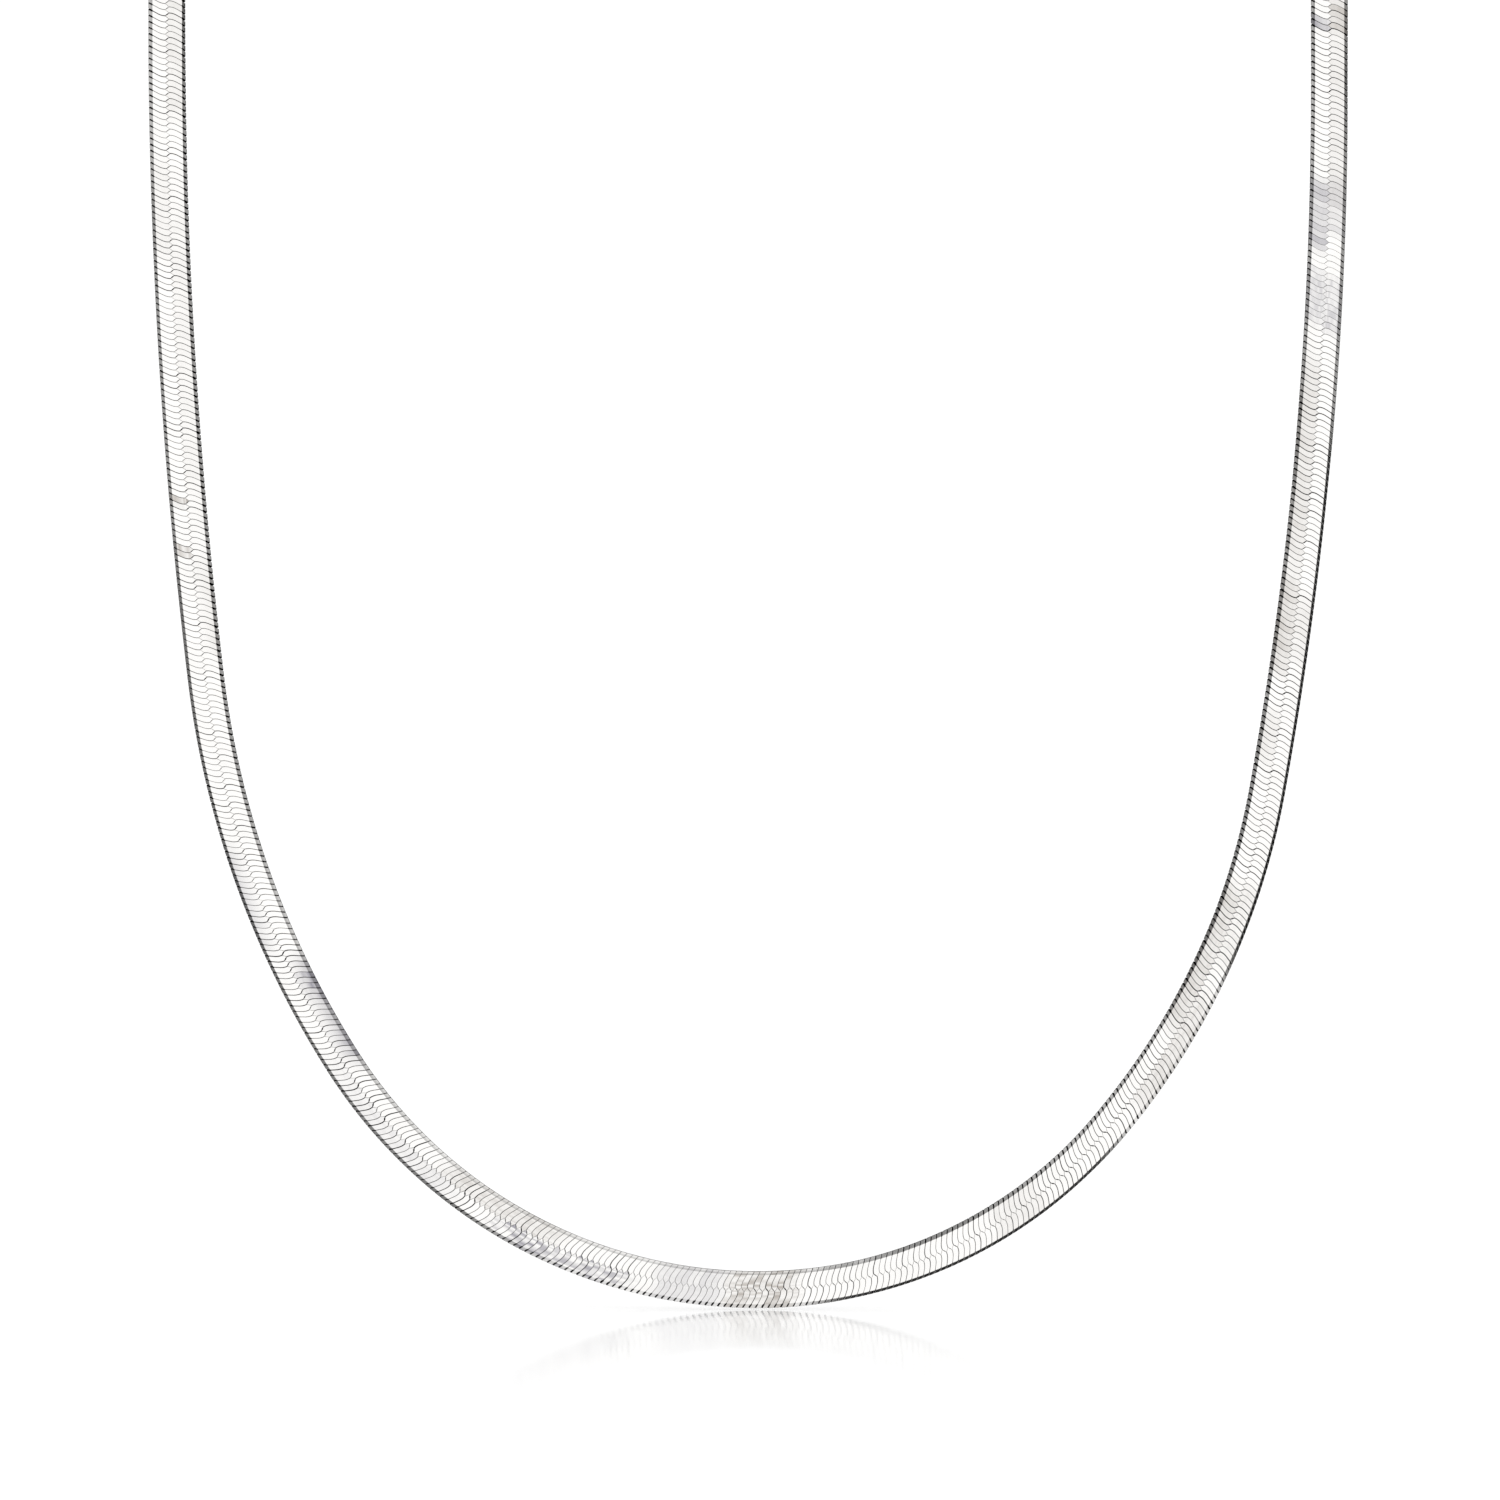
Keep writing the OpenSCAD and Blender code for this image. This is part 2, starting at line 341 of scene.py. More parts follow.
# How rare wide seams and dark patches are, the least that a whole tile is darkened, how closely
# the darkening keeps to the edge, and how sharply a darkened place ends
WIDE_RARE = 2.5
PATCH_RARE = 1.8
LEAST_DULL_AND_SHADE = 0.5
EDGE_KEPT = 1.5
PLACE_ENDS = 3
luck = np.random.default_rng(7)
seam_luck = luck.uniform(0, 1, LINKS + 1) ** WIDE_RARE
# How open the seams stand at a distance from the lowest point: on the faces, the inner bevel and
# the outer bevel
SEAM_PLACES = (
    (-250, 1.0, 1.3, 0.9), (-130, 1.0, 1.3, 0.9), (-115, 1.0, 1.4, 0.6), (-95, 1.0, 1.0, 1.2),
    (-84, 1.1, 0.7, 1.0), (-57, 1.45, 0.35, 0.9), (-45, 1.45, 0.12, 0.8), (-16, 1.0, 0.1, 1.0),
    (-12, 0.2, 0.05, 1.0), (-5, 0.3, 0.05, 1.0), (0, 1.0, 0.1, 0.9), (10, 0.8, 0.3, 0.7),
    (20, 0.75, 0.8, 0.6), (28, 0.95, 1.0, 0.6), (45, 1.4, 1.1, 0.7), (51, 1.4, 1.1, 1.0),
    (70, 1.4, 1.3, 1.0), (77, 1.4, 1.3, 0.6), (125, 1.35, 1.2, 0.5), (142, 1.1, 0.9, 0.8),
    (149, 1.0, 0.8, 0.8), (151, 0.15, 0.8, 0.8), (166, 0.15, 0.8, 0.8), (168, 0.9, 0.8, 0.8),
    (175, 1.2, 1.0, 1.0), (250, 1.1, 1.1, 1.0),
)


def dull_and_shade_levels(s, half):
    """How dark each station of each tile is painted at distances s, from 0 to 1, with tarnish and
    painted reflection and shade, and how bluish.
    """
    whole = luck.uniform(LEAST_DULL_AND_SHADE, 1.0, (len(s), 1))
    patches = luck.uniform(0.0, 1.0, (len(s), stations)) ** PATCH_RARE
    to_edge = np.clip(link_halves[half][-2][:, 0] / (BAND_W / 2), 0, 1) ** EDGE_KEPT
    level = np.zeros((len(s), stations))
    cool = np.zeros((len(s), stations))
    for middle, length, darkness, where, broken, gathered, bluish in DULL_AND_SHADE_PLACES:
        if where in (0, half):
            from_middle = np.abs(s[:, None] - middle)
            near = np.clip(PLACE_ENDS - PLACE_ENDS * from_middle / length, 0, 1)
            tile = (whole * (1 - broken) + patches * broken) * (1 - gathered + 2 * gathered * to_edge)
            # Painted reflection and shade with tarnish: each place darkens its tiles, more towards
            # the edge where it gathers
            level += near * darkness * tile
            cool += near * darkness * tile * bluish
    return np.minimum(level, 1), cool / np.maximum(level, 0.001)


# How unevenly the links lie: moved along in pitches, tilted about the middle of the tile, and sunk
SLIP = 0.006
TILT = 0.012
TILE_MIDDLE = 0.7
DROP = 0.012
# The least opening of a seam and what luck adds to it, on the bevels and on the faces, and in the
# same way the darkening of the faces' seams, oxide and painted shade
BEVEL_OPEN = 0.7
BEVEL_LUCK = 0.3
FACE_OPEN = 0.36
FACE_LUCK = 0.85
FACE_SEAM_DARKENING = 0.4
DARKENING_LUCK = 0.7


def half_links(numbers, half):
    """Points, faces and shades of the links' halves on the inner side (1) or outer side (-1)."""
    half_u, half_gaps, half_oxide_and_shade, half_edge, half_line, half_in, half_lift = link_halves[half]
    count = len(numbers)
    start = numbers * pitch - left_length
    slip = luck.normal(0, SLIP, count)[:, None, None]
    tip = luck.normal(0, TILT, count)[:, None, None]
    drop = luck.uniform(0, DROP, count)[:, None, None]
    places, face_open, inner_open, outer_open = zip(*SEAM_PLACES)
    on_face = np.interp(start, places, face_open)[:, None, None]
    on_edge = np.interp(start, places, inner_open if half > 0 else outer_open)[:, None, None]
    chance = seam_luck[numbers + np.array([[0], [1]])][::half, :, None, None]
    edge_seams = (BEVEL_OPEN + BEVEL_LUCK * chance) * on_edge
    face_seams = (FACE_OPEN + FACE_LUCK * chance) * on_face
    strength = np.where(half_edge, edge_seams, face_seams)
    before, after = strength
    u = half_u + half_gaps[0] * before + half_gaps[1] * after
    u = u if half > 0 else STEP + 1 - u
    s = start[:, None, None] + (u + slip) * pitch
    lift = half_lift * (1 - drop) + tip * (u - TILE_MIDDLE) * pitch * np.sign(half_lift)
    inward = np.broadcast_to(half * half_in, s.shape)
    points = on_route(s, inward, lift).reshape(-1, 3)
    each = np.arange(count)[:, None, None] * half_u.size
    faces = (half_faces[None] + each).reshape(-1, 4)
    # Painted shade with oxide: the more a seam stands open, the darker its walls are painted
    darkening = np.where(half_edge, strength, FACE_SEAM_DARKENING + DARKENING_LUCK * strength)
    oxide_and_shade = half_oxide_and_shade[0] * darkening[0] + half_oxide_and_shade[1] * darkening[1]
    # Painted shade: the dark lines of the crease and the rim, weaker on the outer edge
    oxide_and_shade = oxide_and_shade + half_line * (1.0 if half > 0 else OUTER_RIM_SHADE)
    level, cool = dull_and_shade_levels(start, half)
    shades = {"seam": np.minimum(1, oxide_and_shade), "dull_and_shade": level, "cool": cool}
    shades = {name: values.ravel() if values.ndim > 2 else np.repeat(values.ravel(), corners)
              for name, values in shades.items()}
    return points, faces, shades


# The links' wires inside the band, as one flat rod with blunt edges
CORE_W = 3.2
CORE_T = 0.3
CORE_EDGE = 1.1
CORE_STEP = 1.5


def wire_core(first, last):
    """The buried wires that the links are threaded on, from distance first to last."""
    rings = int((last - first) / CORE_STEP) + 2
    s = np.linspace(first, last, rings)[:, None]
    inward = np.array([-1, 1, CORE_EDGE, 1, -1, -CORE_EDGE])[None] * CORE_W / 2
    lift = np.array([1, 1, 0, -1, -1, 0])[None] * CORE_T / 2
    s, inward, lift = np.broadcast_arrays(s, inward, lift)
    points = on_route(s, inward, lift).reshape(-1, 3)
    faces = strip_faces(rings, 6)[:, ::-1]
    none = np.zeros(len(points))
    # Painted shade: the buried wires are painted as dark as the seams, so the gaps between the tiles
    # look shadowed
    return points, faces, {"seam": none + 1, "dull_and_shade": none, "cool": none}


def join_parts(parts):
    """Points, faces and shades of several parts as one."""
    before = np.cumsum([0] + [len(points) for points, _, _ in parts])
    points = np.concatenate([part[0] for part in parts])
    faces = np.concatenate([part[1] + start for part, start in zip(parts, before)])
    shades = {name: np.concatenate([part[2][name] for part in parts]) for name in parts[0][2]}
    return points, faces, shades


def silver_finish(name, colour, roughness):
    """A new metal material, its node tree and its shader. The colour and the roughness are the
    plain ones, for where its nodes aren't read."""
    finish = bpy.data.materials.new(name)
    finish.use_nodes = True
    tree = finish.node_tree
    shader = tree.nodes["Principled BSDF"]
    shader.inputs["Metallic"].default_value = 1.0
    shader.inputs["Base Color"].default_value = (*colour, 1)
    shader.inputs["Roughness"].default_value = roughness
    return finish, tree, shader


def blend_colours(tree, amount, first, second):
    """The socket of a colour that goes from first to second with amount."""
    mix = tree.nodes.new("ShaderNodeMix")
    mix.data_type = "RGBA"
    tree.links.new(amount, mix.inputs["Factor"])
    for socket, colour in ((mix.inputs["A"], first), (mix.inputs["B"], second)):
        if isinstance(colour, tuple):
            socket.default_value = (*colour, 1)
        else:
            tree.links.new(colour, socket)
    return mix.outputs["Result"]


def own_value(tree, name):
    """The socket of a value that the piece's own mesh carries."""
    reader = tree.nodes.new("ShaderNodeAttribute")
    reader.attribute_name = name
    return reader.outputs["Fac"]


def spots(tree, scale, detail, low, high):
    """Soft patches from 0 to 1, of a size set by scale, in the piece's own space."""
    place = tree.nodes.new("ShaderNodeTexCoord")
    noise = tree.nodes.new("ShaderNodeTexNoise")
    noise.inputs["Scale"].default_value = scale
    noise.inputs["Detail"].default_value = detail
    tree.links.new(place.outputs["Object"], noise.inputs["Vector"])
    spread = tree.nodes.new("ShaderNodeMapRange")
    spread.inputs["From Min"].default_value = low
    spread.inputs["From Max"].default_value = high
    tree.links.new(noise.outputs["Fac"], spread.inputs["Value"])
    return spread.outputs["Result"]


def set_roughness(tree, shader, amount, least, most):
    """Takes the roughness of a shader from least to most with amount."""
    rough = tree.nodes.new("ShaderNodeMapRange")
    rough.inputs["To Min"].default_value = least
    rough.inputs["To Max"].default_value = most
    tree.links.new(amount, rough.inputs["Value"])
    tree.links.new(rough.outputs["Result"], shader.inputs["Roughness"])


def set_relief(tree, shader, height, strength, depth):
    """Gives a shader's surface a fine relief of the given depth in metres."""
    bump = tree.nodes.new("ShaderNodeBump")
    bump.inputs["Strength"].default_value = strength
    bump.inputs["Distance"].default_value = depth
    tree.links.new(height, bump.inputs["Height"])
    tree.links.new(bump.outputs["Normal"], shader.inputs["Normal"])


# The silver of the links: bright and slightly clouded, brownish or bluish grey where it has dulled
# and where it carries painted reflection and shade, almost black and rougher in the seams with oxide
# and painted shade, and finely scratched
ROLLED = (0.96, 0.95, 0.93)
BRIGHT = (0.98, 0.968, 0.95)
CLOUDED = (0.93, 0.918, 0.9)
BROWN_DULL_AND_SHADE = (0.37, 0.33, 0.29)
BLUE_DULL_AND_SHADE = (0.34, 0.33, 0.37)
OXIDE_AND_SHADE = (0.02, 0.02, 0.022)
ROLLED_ROUGH = 0.14
OXIDE_ROUGH = 0.5
SCRATCH = 0.06
SCRATCH_DEPTH = 0.00003


def rolled_silver():
    """Bright rolled silver with oxide and painted shade in the seams, patches of tarnish and painted
    reflection and shade, and fine scratches.
    """
    finish, tree, shader = silver_finish("rolled_silver", ROLLED, roughness=0.2)
    clouds = spots(tree, scale=260, detail=3, low=0.35, high=0.75)
    bright = blend_colours(tree, clouds, BRIGHT, CLOUDED)
    # Painted reflection and shade with tarnish: brownish or bluish grey where the tiles would mirror
    # darker surroundings
    haze = blend_colours(tree, own_value(tree, "cool"), BROWN_DULL_AND_SHADE, BLUE_DULL_AND_SHADE)
    dulled_and_shaded = blend_colours(tree, own_value(tree, "dull_and_shade"), bright, haze)
    # Painted shade: the seam value takes the silver to near black, for oxide in the hollows and for
    # the shade that falls into the gaps
    seamed = blend_colours(tree, own_value(tree, "seam"), dulled_and_shaded, OXIDE_AND_SHADE)
    tree.links.new(seamed, shader.inputs["Base Color"])
    set_roughness(tree, shader, own_value(tree, "seam"), ROLLED_ROUGH, OXIDE_ROUGH)
    scratches = spots(tree, scale=5000, detail=2, low=0.3, high=0.7)
    set_relief(tree, shader, scratches, SCRATCH, SCRATCH_DEPTH)
    return finish


link_silver = rolled_silver()
STRETCHES = ("nape_left", "side_left", "curve_left", "curve_right", "side_right", "nape_right")
# Links at the first and the last end of the band that show no tile on its inner half and on its
# outer half, and that the buried wires fall short by
NO_INNER = (0, 4)
NO_OUTER = (2, 2)
CORE_SHORT = 1
first_link = np.linspace(0, LINKS, len(STRETCHES) + 1).astype(int)
for name, start, end in zip(STRETCHES, first_link, first_link[1:]):
    inner = np.arange(max(start, NO_INNER[0]), min(end, LINKS - NO_INNER[1]))
    outer = np.arange(max(start, NO_OUTER[0]), min(end, LINKS - NO_OUTER[1]))
    core_start = max(start, CORE_SHORT) * pitch - left_length
    core_end = min(end, LINKS - CORE_SHORT) * pitch - left_length
    parts = [half_links(inner, 1), half_links(outer, -1), wire_core(core_start, core_end)]
    stretch = quad_piece("band_" + name, *join_parts(parts))
    stretch.data.materials.append(link_silver)
    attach(stretch, "root")
    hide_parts("herringbone_band")


# The end caps. Each is a flat sleeve of cast silver, crimped over the last 5 mm of the band with a
# bead line near its mouth, and closed by a wall that runs out into a tongue with an eye.
SLEEVE_GAP = 0.05
CAP_WALL = 0.35
CAP_FLOOR = 0.6
TONGUE_T = 0.9
EYE_R = 0.9
EYE_RIM = 0.7
TONGUE_REACH = 2.9
TONGUE_SOFT = 0.18
SLEEVE_SOFT = 0.14
MOUTH_DEPTH = 0.9
LINE_PLACE = 0.8
LINE_W = 0.16
LINE_DEPTH = 0.1
END_SOFT = 0.35
# The longest step along an outline
OUTLINE_STEP = 0.05
# A round outline is drawn round two like circles, each this far from its middle
HAIR = 0.001
# Points of a mesh that lie closer than this, in metres, become one
WELD = 1e-6
# A face that looks more squarely than this to the front or back is a flat one
FLAT = 0.999


def even_steps(outline, step):
    """A closed outline with points added along its long straights."""
    points = []
    for a, b in zip(outline, np.roll(outline, -1, axis=0)):
        count = max(1, round(np.hypot(*(b - a)) / step))
        points += [a + (b - a) * k / count for k in range(count)]
    return np.array(points)


def belt(circles, step=OUTLINE_STEP):
    """Outline round a row of circles (x, z, radius), as a tight belt would lie, anticlockwise."""
    leans = []
    for (ax, az, ar), (bx, bz, br) in zip(circles, circles[1:]):
        way = math.atan2(bz - az, bx - ax)
        open_by = math.acos((ar - br) / math.hypot(bx - ax, bz - az))
        leans.append((way - open_by, way + open_by))
    last = len(circles) - 1
    arcs = [(last, leans[-1][0], leans[-1][1])]
    arcs += [(k, leans[k][1], leans[k - 1][1]) for k in range(last - 1, 0, -1)]
    arcs += [(0, leans[0][1], leans[0][0] + 2 * math.pi)]
    arcs += [(k, leans[k - 1][0], leans[k][0]) for k in range(1, last)]
    corners = []
    for k, start, end in arcs:
        x, z, radius = circles[k]
        angles = np.linspace(start, end, max(2, int(radius * (end - start) / step) + 1))
        corners.append(np.stack([x + radius * np.cos(angles), z + radius * np.sin(angles)], axis=1))
    return even_steps(np.concatenate(corners), step)


def round_outline(x, z, radius):
    """Outline of a round hole or pin, anticlockwise."""
    return belt([(x - HAIR, z, radius), (x + HAIR, z, radius)])


def cast_plate(name, outlines, thickness, soft, middle=0.0):
    """A plate in the necklace's plane with edges rounded by soft, from its outline and its holes;
    middle is how far back the middle of its thickness lies."""
    curve = bpy.data.curves.new(name, "CURVE")
    curve.dimensions = "2D"
    curve.fill_mode = "BOTH"
    curve.extrude = (thickness / 2 - soft) * MM
    curve.bevel_depth = soft * MM
    curve.bevel_resolution = 3
    curve.offset = -soft * MM
    for outline in outlines:
        spline = curve.splines.new("POLY")
        spline.points.add(len(outline) - 1)
        spline.points.foreach_set("co", np.pad(outline * MM, ((0, 0), (0, 2))).ravel())
        spline.use_cyclic_u = True
    drawing = bpy.data.objects.new(name, curve)
    bpy.context.scene.collection.objects.link(drawing)
    mesh = bpy.data.meshes.new_from_object(drawing)
    bpy.data.objects.remove(drawing)
    bm = bmesh.new()
    bm.from_mesh(mesh)
    for vertex in bm.verts:
        x, z, out = vertex.co
        vertex.co = (x, middle * MM - out, z)
    bmesh.ops.remove_doubles(bm, verts=bm.verts, dist=WELD)
    bmesh.ops.recalc_face_normals(bm, faces=bm.faces)
    for face in bm.faces:
        face.smooth = abs(face.normal.y) < FLAT
    bm.to_mesh(mesh)
    bm.free()
    piece = bpy.data.objects.new(name, mesh)
    bpy.context.scene.collection.objects.link(piece)
    return piece


def sleeve_section(grow):
    """Points (z, y) round the sleeve, the band's own section grown all round, corners rounded."""
    half_w = BAND_W / 2 + grow
    half_t = BAND_T / 2 + grow
    slope = INNER_BEVEL_W + grow * (2 - math.sqrt(2))
    quarter = [(half_w, half_t - slope), (half_w - slope, half_t)]
    upper = quarter + [(-z, y) for z, y in reversed(quarter)]
    corners = np.array(upper + [(-z, -y) for z, y in upper])
    points = []
    befores = np.roll(corners, 1, axis=0)
    afters = np.roll(corners, -1, axis=0)
    for before, corner, after in zip(befores, corners, afters):
        start = corner + (before - corner) / np.hypot(*(before - corner)) * SLEEVE_SOFT
        end = corner + (after - corner) / np.hypot(*(after - corner)) * SLEEVE_SOFT
        for t in np.linspace(0, 1, 5):
            points.append(start * (1 - t) ** 2 + corner * 2 * t * (1 - t) + end * t ** 2)
    return np.array(points)


def sleeve(name, mouth_x, way):
    """The sleeve from its mouth at mouth_x towards way, with a bead line and a closed end."""
    grown = SLEEVE_GAP + CAP_WALL
    length = CAP_GRIP + SLEEVE_GAP + CAP_FLOOR
    line_end = LINE_PLACE + LINE_W
    # Each ring's distance from the mouth, and how far it stands off the band
    inside = ((MOUTH_DEPTH, 0.1), (0.6, SLEEVE_GAP), (0.0, SLEEVE_GAP + 0.02))
    mouth = ((0.0, grown - 0.1), (0.03, grown - 0.03), (0.1, grown))
    bead_line = ((LINE_PLACE - 0.1, grown), (LINE_PLACE, grown - LINE_DEPTH),
                 (line_end, grown - LINE_DEPTH), (line_end + 0.1, grown))
    end = ((length - END_SOFT, grown), (length - 0.1, grown - 0.09), (length, grown - 0.3))
    rings = []
    for along, grow in inside + mouth + bead_line + end:
        section = sleeve_section(grow)
        x = np.full(len(section), mouth_x + way * along)
        rings.append(np.stack([x, -section[:, 1], top_z + section[:, 0]], axis=1))
    points = np.concatenate(rings) * MM
    columns = len(rings[0])
    bm = bmesh.new()
    verts = [bm.verts.new(point) for point in points]
    for row in range(len(rings) - 1):
        for column in range(columns):
            after = (column + 1) % columns
            a, b = row * columns, (row + 1) * columns
            bm.faces.new((verts[a + column], verts[a + after], verts[b + after], verts[b + column]))
    bm.faces.new(verts[-columns:])
    bm.faces.new(verts[:columns][::-1])
    bmesh.ops.recalc_face_normals(bm, faces=bm.faces)
    mesh = bpy.data.meshes.new(name)
    bm.to_mesh(mesh)
    bm.free()
    keep_flat(mesh)
    piece = bpy.data.objects.new(name, mesh)
    bpy.context.scene.collection.objects.link(piece)
    return piece


# The silver of the fittings: polished, with a warmer and duller haze and a slightly uneven skin
CAST = (0.93, 0.92, 0.9)
POLISHED = (0.94, 0.93, 0.91)
WARM_HAZE = (0.85, 0.835, 0.81)
POLISHED_ROUGH = 0.1
HAZE_ROUGH = 0.28
UNEVEN = 0.25
UNEVEN_DEPTH = 0.00004


def cast_silver():
    """Polished cast silver: a slightly uneven skin and a warm haze."""
    finish, tree, shader = silver_finish("cast_silver", CAST, roughness=0.15)
    haze = spots(tree, scale=700, detail=3, low=0.4, high=0.75)
    tinted = blend_colours(tree, haze, POLISHED, WARM_HAZE)
    tree.links.new(tinted, shader.inputs["Base Color"])
    set_roughness(tree, shader, haze, POLISHED_ROUGH, HAZE_ROUGH)
    skin = spots(tree, scale=1300, detail=4, low=0.3, high=0.7)
    set_relief(tree, shader, skin, UNEVEN, UNEVEN_DEPTH)
    return finish


fitting_silver = cast_silver()


def fit(piece, node):
    """Gives a piece of a fitting its silver, hangs it from the root and hides the node it stands for.
    """
    piece.data.materials.clear()
    piece.data.materials.append(fitting_silver)
    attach(piece, "root")
    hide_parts(node)


for side, way in (("left", 1), ("right", -1)):
    end_x = -way * band_end_x
    eye_x = end_x + way * (SLEEVE_GAP + CAP_FLOOR + TONGUE_REACH)
    shoulder = (end_x + way * (SLEEVE_GAP + CAP_FLOOR), top_z, BAND_W / 2 + SLEEVE_GAP)
    eye = (eye_x, top_z, EYE_R + EYE_RIM)
    outlines = [belt([shoulder, eye]), round_outline(eye_x, top_z, EYE_R)[::-1]]
    fit(sleeve("cap_sleeve_" + side, end_x - way * CAP_GRIP, way), "end_cap_" + side)
    tongue = cast_plate("cap_tongue_" + side, outlines, TONGUE_T, TONGUE_SOFT)
    fit(tongue, "end_cap_" + side)


# The jump rings: round silver wire bent into a ring through each cap's eye, its butted ends
# soldered and filed almost flush, so that a faint collar shows on one side.
RING_STEP = 3
WIRE_STEP = 15
# The collar's place and half width in degrees round the ring, and its height as a share of the
# wire's radius, and the same two for the filed joint in its middle
COLLAR_AT = 205
COLLAR_W = 5
COLLAR_RISE = 0.035
JOINT_W = 1.5
JOINT_DEPTH = 0.06
for side in ("left", "right"):
    ring_lo, ring_hi = (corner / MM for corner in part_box("jump_ring_" + side))
    wire_r = (ring_hi.z - ring_lo.z) / 2
    ring_r = (ring_hi.x - ring_lo.x) / 2 - wire_r
    turn = np.radians(np.arange(0, 360, RING_STEP))
    from_collar = np.abs((np.degrees(turn) - COLLAR_AT + 180) % 360 - 180)
    collar = COLLAR_RISE * np.exp(-(from_collar / COLLAR_W) ** 2)
    joint = JOINT_DEPTH * np.exp(-(from_collar / JOINT_W) ** 2)
    wire = wire_r * (1 - COLLAR_RISE + collar - joint)
    round_wire = np.radians(np.arange(0, 360, WIRE_STEP))
    out = ring_r + wire[:, None] * np.cos(round_wire)
    x = (ring_lo.x + ring_hi.x) / 2 + out * np.cos(turn)[:, None]
    y = out * np.sin(turn)[:, None]
    z = top_z + wire[:, None] * np.sin(round_wire)
    points = np.stack([x, y, z], axis=-1).reshape(-1, 3) * MM
    rows, columns = len(turn), len(round_wire)
    row, column = np.meshgrid(np.arange(rows), np.arange(columns), indexing="ij")
    after, beside = (row + 1) % rows, (column + 1) % columns
    faces = np.stack([row * columns + column, after * columns + column,
                      after * columns + beside, row * columns + beside], axis=-1).reshape(-1, 4)
    fit(quad_piece("wire_ring_" + side, points, faces, {}), "jump_ring_" + side)


# The clasp: a cast lobster claw of silver. Its hook is closed by a sprung lever, which turns on a
# riveted pin and has a round thumb knob, and a ring hangs in its eye.
CLASP_T = 1.9
HOOK_WALL = 1.05
HOOK_GAP = 2.3
HOOK_REACH = 8.0
BODY_PLACE = 3.4
CLAW_SOFT = 0.25
CLAW_CORNER = 0.26
GATE_SEAM = 0.15
GATE_LEAN = 30
LEVER_T = 1.4
LEVER_LENGTH = 2.9
LEVER_GAP = 0.05
LEVER_SOFT = 0.15
LEVER_CORNER = 0.17
HEEL = 0.55
KNOB_R = 0.85
NECK_DROP = 1.2
NECK_LEAN = 0.1
NECK_TAPER = 0.25
KNOB_SOFT = 0.35
PIN_R = 0.42
PIN_T = 0.3
PIN_SUNK = 0.07
PIN_SOFT = 0.12
FINE_STEP = 0.03
# A corner of an outline that turns by more than this, in radians, is rounded by so many points
SHARP_TURN = 0.4
CORNER_POINTS = 9
clasp_lo, clasp_hi = (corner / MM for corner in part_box("clasp"))
eye_x = clasp_lo.x + EYE_R + HOOK_WALL
body = (eye_x + BODY_PLACE, top_z, top_z)
hook_r = HOOK_GAP / 2 + HOOK_WALL
hook = (eye_x + HOOK_REACH, clasp_lo.z + hook_r, hook_r)
opening_x = body[0] + HOOK_WALL + HOOK_GAP / 2
pin_z = hook[1] + HOOK_GAP / 2
heel_z = hook[1] + HEEL
gate_x = hook[0] - HOOK_GAP / 2
lever_x = gate_x - LEVER_LENGTH


def rounded(outline, radius):
    """An outline with an arc of the given radius in place of each sharp corner."""
    after = np.roll(outline, -1, axis=0) - outline
    before = np.roll(after, 1, axis=0)
    cross = before[:, 0] * after[:, 1] - before[:, 1] * after[:, 0]
    turns = np.arctan2(cross, (before * after).sum(axis=1))
    sharp = np.flatnonzero(np.abs(turns) > SHARP_TURN)
    cut = radius * np.tan(np.abs(turns[sharp]) / 2)
    far = np.hypot(*np.moveaxis(outline[:, None] - outline[sharp], -1, 0))
    points = []
    for k, point in enumerate(outline):
        if k in sharp:
            way = before[k] / np.hypot(*before[k])
            start = point - way * radius * math.tan(abs(turns[k]) / 2)
            side = np.array([-way[1], way[0]]) * np.sign(turns[k])
            angles = np.linspace(0, abs(turns[k]), CORNER_POINTS)[:, None]
            points.extend(start + radius * (way * np.sin(angles) + side * (1 - np.cos(angles))))
        elif (far[k] > cut).all():
            points.append(point)
    return np.array(points)


def run_of(points, wanted):
    """The one unbroken run of the wanted points of a closed outline, in its order."""
    first = np.flatnonzero(wanted & ~np.roll(wanted, 1))[0]
    return np.roll(points, -first, axis=0)[:wanted.sum()]


def by_lever(points, gap):
    """Which points of the clasp's outlines belong to the lever, with a gap kept round it."""
    x, z = points.T
    gate = gate_x + gap - math.tan(math.radians(GATE_LEAN)) * (z - hook[1])
    return (z > heel_z - gap / 3) & (x < gate) & (x > lever_x - gap / 3)


outside = belt([(eye_x, top_z, EYE_R + HOOK_WALL), body, hook], FINE_STEP)
opening = [(opening_x, hook[1], HOOK_GAP / 2), (hook[0], hook[1], HOOK_GAP / 2)]
inside = belt(opening, FINE_STEP)[::-1]
around_claw = run_of(outside, ~by_lever(outside, GATE_SEAM))
around_opening = run_of(inside, ~by_lever(inside, GATE_SEAM))
claw = np.concatenate([around_claw, around_opening, [(lever_x - LEVER_GAP, heel_z - LEVER_GAP)]])
claw = rounded(even_steps(claw, OUTLINE_STEP), CLAW_CORNER)
over_lever = run_of(outside, by_lever(outside, 0))
under_lever = run_of(inside, by_lever(inside, 0))
lever = np.concatenate([over_lever, [(lever_x, heel_z)], under_lever])
lever = rounded(even_steps(lever, OUTLINE_STEP), LEVER_CORNER)
eye_hole = round_outline(eye_x, top_z, EYE_R)[::-1]
fit(cast_plate("clasp_claw", [claw, eye_hole], CLASP_T, CLAW_SOFT), "clasp")
fit(cast_plate("clasp_lever", [lever], LEVER_T, LEVER_SOFT), "clasp")
knob_z = clasp_hi.z - KNOB_R
neck = (body[0] - NECK_LEAN, knob_z - NECK_DROP, KNOB_R - NECK_TAPER)
knob = belt([neck, (body[0], knob_z, KNOB_R)])
fit(cast_plate("clasp_knob", [knob], LEVER_T, KNOB_SOFT), "clasp")
pin = round_outline(body[0], pin_z, PIN_R)
